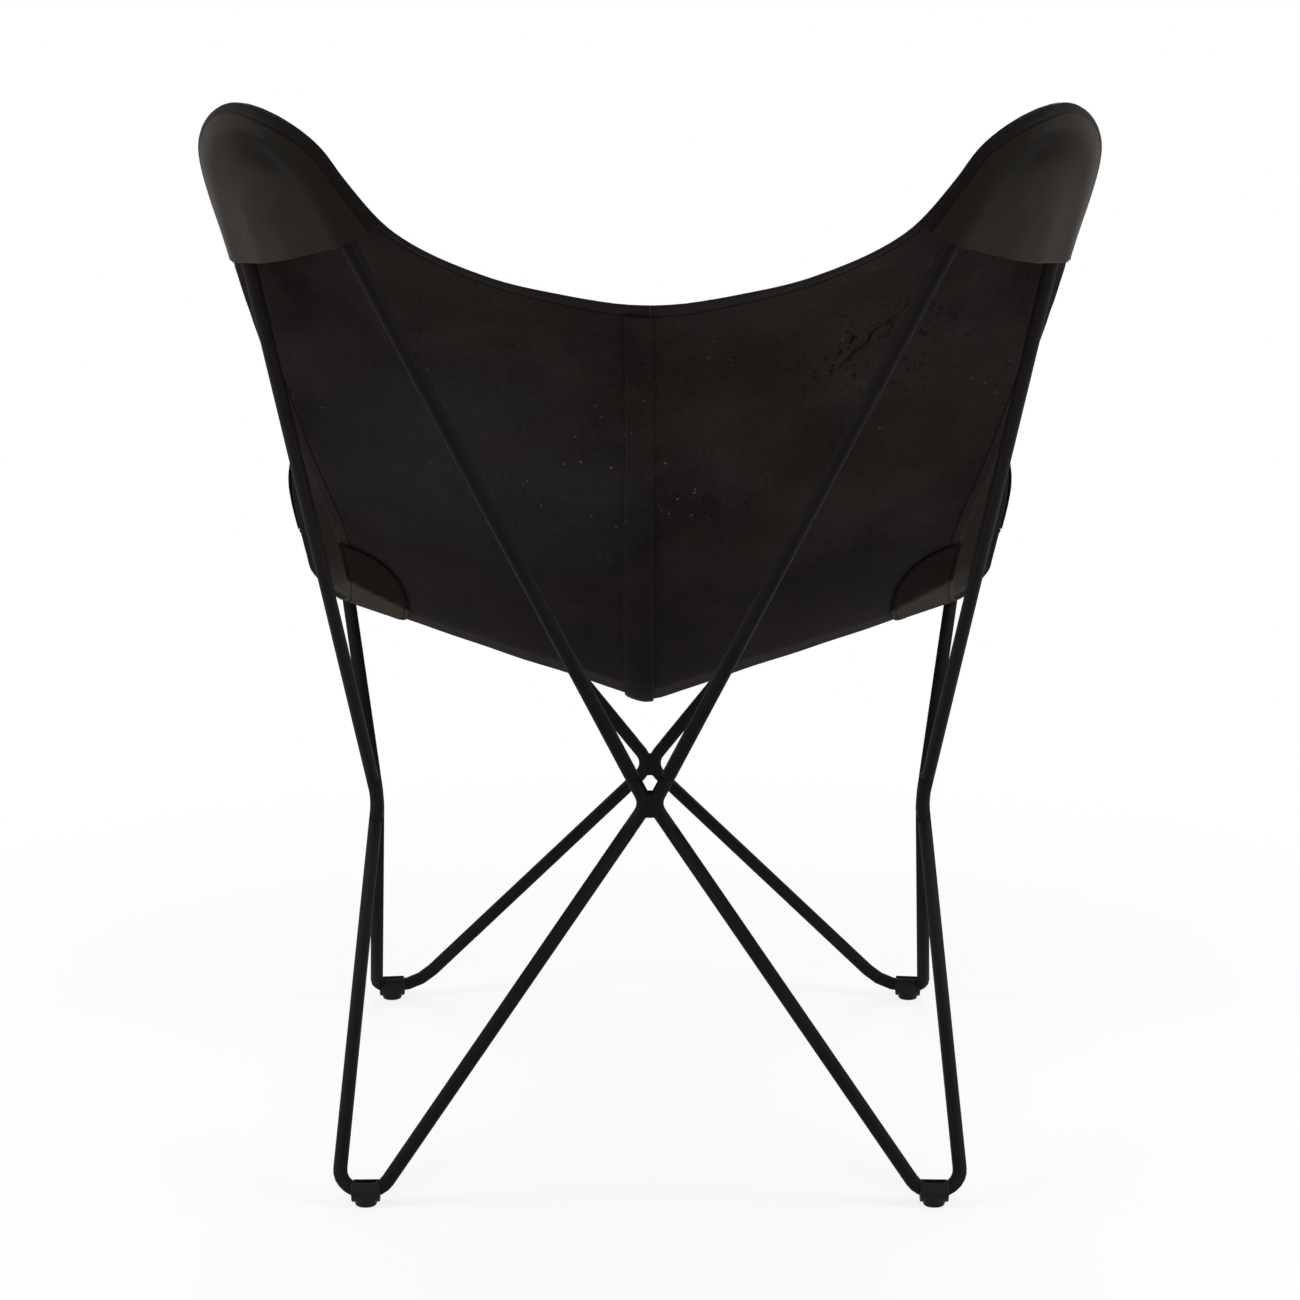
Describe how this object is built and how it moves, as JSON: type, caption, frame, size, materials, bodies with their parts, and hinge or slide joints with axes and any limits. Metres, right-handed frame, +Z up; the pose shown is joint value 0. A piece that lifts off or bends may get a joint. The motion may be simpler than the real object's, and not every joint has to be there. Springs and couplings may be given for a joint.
{
  "type": "butterfly sling chair",
  "caption": "Butterfly sling chair: a black welded steel rod frame carries a dark leather sling, hung by pockets at the ears and knees.",
  "frame": {"origin": "On the floor under the middle of the chair's bounding box, so the four glides stand at z = 0", "axes": "+Z is up, -Y is the chair's front, where the sitter's knees are, and +X is the sitter's left"},
  "size_m": [0.7064, 0.7324, 0.9168],
  "materials": {
    "frame": "matt black powder coat",
    "glide": "moulded black plastic",
    "sling": "black-brown leather, rough flesh side out at the back",
    "pocket": "black-brown leather, smooth grain side out"
  },
  "bodies": {
    "root": {"ear_hoop_left": "frame", "ear_hoop_right": "frame", "knee_hoop_left": "frame", "knee_hoop_right": "frame", "rear_leg_left": "frame", "rear_leg_right": "frame", "front_leg_left": "frame", "front_leg_right": "frame", "back_weld": "frame", "front_weld": "frame", "side_weld_left": "frame", "side_weld_right": "frame", "rear_glide_left": "glide", "rear_glide_right": "glide", "front_glide_left": "glide", "front_glide_right": "glide", "sling_panel_left": "sling", "sling_panel_right": "sling", "centre_seam_strip": "sling", "ear_pocket_left": "pocket", "ear_pocket_right": "pocket", "knee_pocket_left": "pocket", "knee_pocket_right": "pocket", "corner_patch_left": "pocket", "corner_patch_right": "pocket"}
  },
  "joints": []
}
